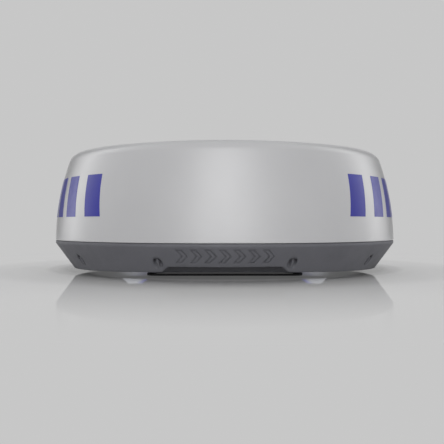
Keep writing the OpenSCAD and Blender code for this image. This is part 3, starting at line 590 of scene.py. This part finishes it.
def make_marks(dome, materials):
    """A ring between slanted bars that narrow towards both ends, on each side of the cover."""
    middle = (MARK_LOW + MARK_HIGH) / 2
    tall = MARK_HIGH - MARK_LOW
    for side, word in ((-1, "left"), (1, "right")):
        bm = bmesh.new()
        for end in (-1, 1):
            for i in range(4):
                centre, width = end * (MARK_FIRST + MARK_PITCH * i), BAR_WIDTH - BAR_TAPER * i
                grid = []
                for row in range(BAR_ROWS + 1):
                    up = row / BAR_ROWS
                    lean = centre + MARK_SLANT * (up - 0.5)
                    grid.append([(lean + width * (c / BAR_COLUMNS - 0.5), MARK_LOW + tall * up)
                                 for c in range(BAR_COLUMNS + 1)])
                film_into(bm, grid, dome, side, closed=False)
        for inner, outer in ((tall / 2 - RING_BAND, tall / 2), SPOT):
            radii = [inner + (outer - inner) * r / RING_ROWS for r in range(RING_ROWS + 1)]
            turns = [2 * math.pi * k / RING_TURNS for k in range(RING_TURNS)]
            grid = [[(r * math.cos(t), middle + r * math.sin(t)) for t in turns] for r in radii]
            film_into(bm, grid, dome, side, closed=True)
        mark = link_mesh(f"side_film_{word}", bm, materials["mark_vinyl"])
        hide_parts(f"side_mark_{word}")
        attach(mark, "base")


# ---------------------------------------------------------------- studio
def make_floor():
    """Pale gloss floor: a matt base under a thin clear layer that mirrors only at low angles.

    It is a little darker close to the object, and fades into the backdrop far from it.
    """
    mesh = bpy.data.meshes.new("floor")
    half = FLOOR_SIZE / 2
    corners = [(-half, -half), (half, -half), (half, half), (-half, half)]
    mesh.from_pydata([(x, y, FLOOR_Z) for x, y in corners], [], [(0, 1, 2, 3)])
    floor = bpy.data.objects.new("floor", mesh)
    bpy.context.collection.objects.link(floor)
    s = Surface("floor_gloss", roughness=1.0, Specular_IOR_Level=0.0)
    radius = s.distance((0, 0, 0))
    cloud = s.remap(s.noise(3), FLOOR_TONE, FLOOR_TONE * 1.01)
    tone = s.node("ShaderNodeMath", operation="MULTIPLY")
    s.link(cloud, tone.inputs[0])
    # painted contact shade: the floor's tone darkens towards the object
    s.link(s.ramp(s.distance(SHADE_CENTRE), SHADE), tone.inputs[1])
    s.colour(tone.outputs["Value"])
    s.shader.inputs["Emission Color"].default_value = (1, 1, 1, 1)
    # painted light: the floor glows faintly under the object
    s.link(s.smooth(radius, UNDER_GLOW, 0, *GLOW_ENDS), s.shader.inputs["Emission Strength"])
    mirror = s.node("ShaderNodeBsdfGlossy")
    mirror.inputs["Roughness"].default_value = 0.03
    mirror.inputs["Color"].default_value = (1, 1, 1, 1)
    angle = s.node("ShaderNodeFresnel")
    angle.inputs["IOR"].default_value = FLOOR_IOR
    share = s.node("ShaderNodeMath", operation="MULTIPLY")
    s.link(angle.outputs["Fac"], share.inputs[0])
    s.link(s.smooth(radius, UNDER_MIRROR, 1, *MIRROR_ENDS), share.inputs[1])
    mix = s.node("ShaderNodeMixShader")
    s.link(share.outputs["Value"], mix.inputs["Fac"])
    s.link(s.shader.outputs["BSDF"], mix.inputs[1])
    s.link(mirror.outputs["BSDF"], mix.inputs[2])
    backdrop = s.node("ShaderNodeEmission")
    backdrop.inputs["Color"].default_value = (PALE, PALE, PALE, 1)
    fade = s.node("ShaderNodeMixShader")
    s.link(s.smooth(radius, 0, 1, *FLOOR_FADE), fade.inputs["Fac"])
    s.link(mix.outputs["Shader"], fade.inputs[1])
    s.link(backdrop.outputs["Emission"], fade.inputs[2])
    s.link(fade.outputs["Shader"], s.tree.nodes["Material Output"].inputs["Surface"])
    mesh.materials.append(s.material)


def make_world():
    """Even pale backdrop, lit like a studio.

    A soft box stands in front, a soft strip behind each side, and dark flags behind those.
    """
    world = bpy.data.worlds.new("studio")
    bpy.context.scene.world = world
    world.use_nodes = True
    tree = world.node_tree

    def math_node(operation, first, second):
        made = tree.nodes.new("ShaderNodeMath")
        made.operation = operation
        for socket, value in zip(made.inputs, (first, second)):
            if isinstance(value, (int, float)):
                socket.default_value = value
            else:
                tree.links.new(value, socket)
        return made.outputs["Value"]

    axes = tree.nodes.new("ShaderNodeSeparateXYZ")
    tree.links.new(tree.nodes.new("ShaderNodeTexCoord").outputs["Generated"], axes.inputs[0])
    x, y, z = axes.outputs
    level = math_node("SQRT", math_node("ADD", math_node("MULTIPLY", x, x), math_node("MULTIPLY", y, y)), 0)
    turn = math_node("MULTIPLY_ADD", math_node("DIVIDE", y, math_node("MAXIMUM", level, 0.001)), 0.5)
    turn.node.inputs[2].default_value = 0.5
    ramp = tree.nodes.new("ShaderNodeValToRGB")
    ramp.color_ramp.interpolation = "EASE"
    elements = ramp.color_ramp.elements
    for place, (degrees, value) in enumerate(STUDIO):
        spot = math.sin(math.radians(degrees / 2)) ** 2
        element = elements[place] if place < 2 else elements.new(spot)
        element.position = spot
        element.color = (*([value / STUDIO_PEAK] * 3), 1)
    tree.links.new(turn, ramp.inputs["Fac"])
    around = math_node("MULTIPLY", ramp.outputs["Color"], STUDIO_PEAK)
    high = tree.nodes.new("ShaderNodeMapRange")
    high.interpolation_type = "SMOOTHSTEP"
    high.inputs["From Min"].default_value, high.inputs["From Max"].default_value = STUDIO_TOP_FROM
    tree.links.new(z, high.inputs["Value"])
    lit = math_node("ADD", math_node("MULTIPLY", around, math_node("SUBTRACT", 1, high.outputs["Result"])),
                    math_node("MULTIPLY", high.outputs["Result"], STUDIO_TOP))
    seen = tree.nodes.new("ShaderNodeLightPath").outputs["Is Camera Ray"]
    shown = math_node("ADD", math_node("MULTIPLY", seen, PALE),
                      math_node("MULTIPLY", math_node("SUBTRACT", 1, seen), lit))
    tree.links.new(shown, tree.nodes["Background"].inputs["Color"])


def make_studio():
    bpy.context.scene.view_settings.view_transform = "Standard"
    make_floor()
    make_world()


make_camera()
MATERIALS = make_materials()
paint_nodes(MATERIALS)
DOME = Dome()
make_cover(DOME, MATERIALS)
make_marks(DOME, MATERIALS)
make_studio()
